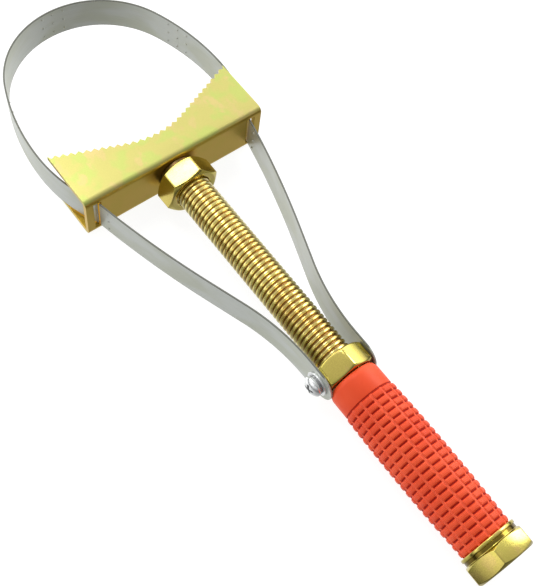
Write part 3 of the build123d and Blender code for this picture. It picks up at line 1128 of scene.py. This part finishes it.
def buildPanScrew(values):
    # rings from the shank's end over the head to its middle; the columns bend so that some of them follow the
    # recess's straight arms: half width / radius is the sine of their angle
    place, inner, top = placeOf("band_screw", values["side"])
    seat = top - values["height"]
    share = np.array([-1, -0.8, -0.6, -0.5, -0.25, 0, 0.25, 0.5, 0.6, 0.8])
    dome = values["head"] * np.array([
        0.995, 0.975, 0.93, 0.86, 0.77, 0.67, 0.6, 0.57, 0.555, 0.54, 0.42, 0.32, 0.24, 0.2, 0.18, 0.16,
        0.08, 0])
    head, shank = values["head"], values["shank"]
    outer = np.array([0, shank, shank, 0.97 * head, head, head])
    radius = np.concatenate([outer, dome])
    widest = math.sin(turn / 8)
    reach = np.maximum(radius, 0.3 * mm)
    wallFoot, wallTop = (
        np.arcsin(np.minimum(values["armWidth"] * part / reach, widest))[:, None] for part in (0.9, 1.08))
    size = np.abs(share)[None, :]  # up to 0.5 on an arm's floor, to 0.6 on its wall, then on the dome
    lean = np.where(size <= 0.5, wallFoot * size / 0.5,
                    np.where(size <= 0.6, wallFoot + (wallTop - wallFoot) * (size - 0.5) / 0.1,
                             wallTop + (turn / 8 - wallTop) * (size - 0.6) / 0.4)) * np.sign(share)
    quarters = np.arange(4) * turn / 4 + math.radians(values["tilt"])
    angles = (quarters[None, :, None] + lean[:, None, :]).reshape(len(radius), -1)
    height = np.repeat(domeHeight(values, radius)[:, None], angles.shape[1], axis=1)
    deep = values["deep"]
    floor = values["height"] - deep + (deep - values["shallow"]) * radius / values["arm"]
    foot = np.tile(size <= 0.5, (1, 4)) & (radius <= values["arm"])[:, None]
    sunk = foot | (radius <= values["armWidth"] / widest)[:, None]
    sunk[:len(outer)] = False
    height = np.where(sunk, floor[:, None], height)
    distance = seat + height
    distance[:len(outer)] = np.array(
        [inner, inner, seat, seat, seat + 0.2 * mm, seat + values["edge"] - 0.1 * mm])[:, None]
    rows = np.stack([distance, np.repeat(radius[:, None], angles.shape[1], axis=1)], axis=2)
    # the sunk mark paints shade into the cross recess
    piece = turned("pan_screw", rows, angles, [fastenerMetal], closed=False, place=place,
                   marks={"sunk": sunk}, sharpAngle=50)
    fit(piece, "anchor", "fastener_zinc", "band_screw")


def buildFlatWasher(values):
    place, near, far = placeOf("flat_washer", values["side"])
    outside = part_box("flat_washer")[1].z
    angles = fullTurn()
    rows = washerRows(near, far, outside, values["bore"], values["soft"], len(angles))
    piece = turned("flat_washer_ring", rows, angles, [fastenerMetal], place=place)
    fit(piece, "anchor", "fastener_zinc", "flat_washer")


def buildSpringWasher(values):
    # an open ring; the split's two faces are straight, as their angle is the half gap over the radius
    place, near, far = placeOf("spring_washer", values["side"])
    outside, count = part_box("spring_washer")[1].z, 72
    rows = washerRows(near, far, outside, values["bore"], values["soft"], count)
    gap = np.arcsin(values["split"] / rows[..., 1])
    angles = -values["side"] * turn / 4 + gap + (turn - 2 * gap) * np.linspace(0, 1, count)[None, :]
    ring = np.arange(len(rows)) * count
    points = around(rows, angles, **place)
    faces = gridFaces(len(rows), count, wrapRows=True)
    # painted shade over the whole washer
    shaded = np.full(points.shape[:2], values["springShade"])
    piece = makeMesh("spring_washer_ring", points, faces, [fastenerMetal], marks={"sunk": shaded},
                     extra=[ring, ring + count - 1])
    fit(piece, "anchor", "fastener_zinc", "spring_washer")


def buildBandRivet(values):
    # shank, then a low head with a chamfered rim
    place, inner, top = placeOf("band_rivet", values["side"])
    seat, head, chamfer = top - values["height"], values["head"], values["chamfer"]
    outline = [(inner, 0), (inner, values["shank"]), (seat, values["shank"]), (seat, head),
               (top - chamfer, head), (top, head - chamfer), (top, 0)]
    angles = fullTurn(96)
    rows = softened(levels(len(angles), *outline), values["soft"], closed=False)
    piece = turned("band_rivet_turned", rows, angles, [fastenerMetal], closed=False, place=place)
    fit(piece, "anchor", "fastener_zinc", "band_rivet")


buildPanScrew(panScrew)
buildFlatWasher(panScrew)
buildSpringWasher(panScrew)
buildBandRivet(bandRivet)
print("band fastenings ready")


studio = {
    "floorSize": 3.0,
    "floorColour": (0.2, 0.2, 0.2, 1),
    "floorGlow": 0.9,
    # brightness of the surroundings by height: straight down, below, horizon, low, high, overhead
    "sky": [(0.0, 1.0), (0.12, 0.85), (0.20, 1.1), (0.33, 0.95), (0.40, 0.12), (0.46, 0.14), (0.53, 1.2),
            (0.66, 2.3), (0.74, 0.88), (1.0, 0.86)],
    "sideways": 0.15,  # how much brighter the right is than the middle, and the left darker
    "forward": 0.7,  # the same for the filter's end against the handle's
    "middle": 0.78,
    "skyStrength": 1.0,
    "seenSky": (1, 1, 1, 1),
}
lamps = {
    "top": {"place": (-0.14, 0.55, 1.26), "size": 0.5, "power": 4},
    "right": {"place": (1.05, -0.1, 0.82), "size": 0.6, "power": 6.5},
}
shot = {
    "target": (-4.66 * mm, -140.53 * mm, 0),
    "azimuth": -47.3,
    "elevation": 61.6,
    "roll": 11.15,
    "distance": 440.6 * mm,
    "lens": 60.0,
}


def buildStage(values):
    half, z = values["floorSize"] / 2, cadBox[0][2]
    points = np.array([(-half, -half, z), (half, -half, z), (half, half, z), (-half, half, z)])
    material, nodes = newFinish("pale_floor")
    nodes.surface({
        "Base Color": values["floorColour"], "Roughness": 0.9,
        "Emission Color": (1, 1, 1, 1), "Emission Strength": values["floorGlow"]})
    floor = makeMesh("floor", points, np.array([[0, 1, 2, 3]]), [material])
    floor.visible_glossy = False  # the metal mirrors the soft surroundings below instead
    world = bpy.data.worlds.new("studio")
    world.use_nodes = True
    bpy.context.scene.world = world
    nodes = Nodes(world.node_tree)
    place = nodes.node("ShaderNodeTexCoord", {}, {}, "Generated")
    across, along, up = place.parts()
    stops = [(where, (bright, bright, bright, 1)) for where, bright in values["sky"]]
    glow = nodes.node("ShaderNodeValToRGB", {"stops": stops}, {0: up * 0.5 + 0.5})
    seen = nodes.node("ShaderNodeLightPath", {}, {}, "Is Camera Ray")
    lean = across * values["sideways"] + along * values["forward"] + values["middle"]
    colour = nodes.mix(seen, glow * lean, values["seenSky"])
    light = nodes.node("ShaderNodeBackground", {}, {"Color": colour, "Strength": values["skyStrength"]})
    nodes.node("ShaderNodeOutputWorld", {}, {"Surface": light})


def buildLamp(name, values):
    data = bpy.data.lights.new(name, "AREA")
    data.shape = "DISK"
    data.size = values["size"]
    data.energy = values["power"]
    lamp = bpy.data.objects.new(name, data)
    lamp.location = values["place"]
    aim = Vector(shot["target"]) - lamp.location
    lamp.rotation_euler = aim.to_track_quat("-Z", "Y").to_euler()
    bpy.context.scene.collection.objects.link(lamp)


def buildCamera(values):
    swung, raised = math.radians(values["azimuth"]), math.radians(values["elevation"])
    flat = math.cos(raised)
    away = Vector((math.sin(swung) * flat, -math.cos(swung) * flat, math.sin(raised)))
    data = bpy.data.cameras.new("camera")
    data.lens = values["lens"]
    data.sensor_width = 36
    data.clip_start = 0.01
    camera = bpy.data.objects.new("camera", data)
    place = Matrix.Translation(Vector(values["target"]) + away * values["distance"])
    level = away.to_track_quat("Z", "Y").to_matrix().to_4x4()
    camera.matrix_world = place @ level @ Matrix.Rotation(math.radians(values["roll"]), 4, "Z")
    bpy.context.scene.collection.objects.link(camera)
    bpy.context.scene.camera = camera


buildStage(studio)
for name, values in lamps.items():
    buildLamp(name, values)
buildCamera(shot)
bpy.context.scene.view_settings.view_transform = "Standard"
print("studio ready")
